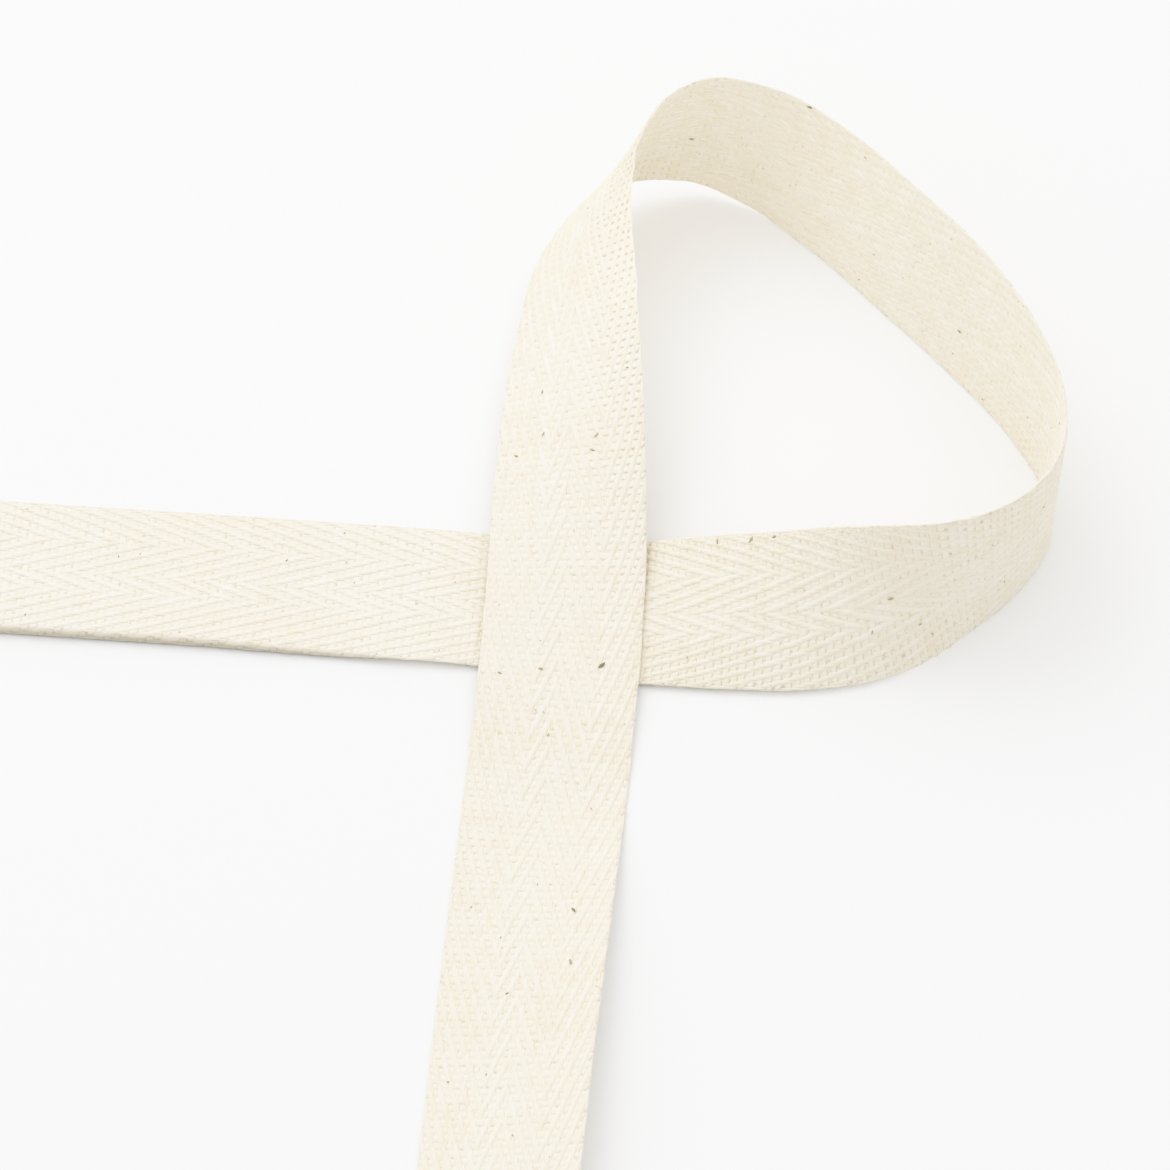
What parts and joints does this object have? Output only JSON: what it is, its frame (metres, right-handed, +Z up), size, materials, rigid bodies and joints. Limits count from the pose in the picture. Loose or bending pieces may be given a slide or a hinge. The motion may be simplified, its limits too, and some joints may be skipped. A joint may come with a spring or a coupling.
{
  "type": "length of herringbone twill tape",
  "caption": "Flat woven cotton tape laid in one open loop that crosses over itself, with plain cut ends; for ties, casings and edge binding.",
  "frame": {"origin": "centre of the tape's box at the surface it lies on; the runs cross at x = 7.9 mm, y = 14.4 mm", "axes": "+Z up from the surface; -Y along the near run to its cut end; +X along the first run, away from its cut end"},
  "size_m": [0.1414, 0.1648, 0.0229],
  "materials": {
    "cotton": "undyed cotton herringbone weave, matt, with dark seed flecks"
  },
  "bodies": {
    "root": {"tape": "cotton"}
  },
  "joints": []
}
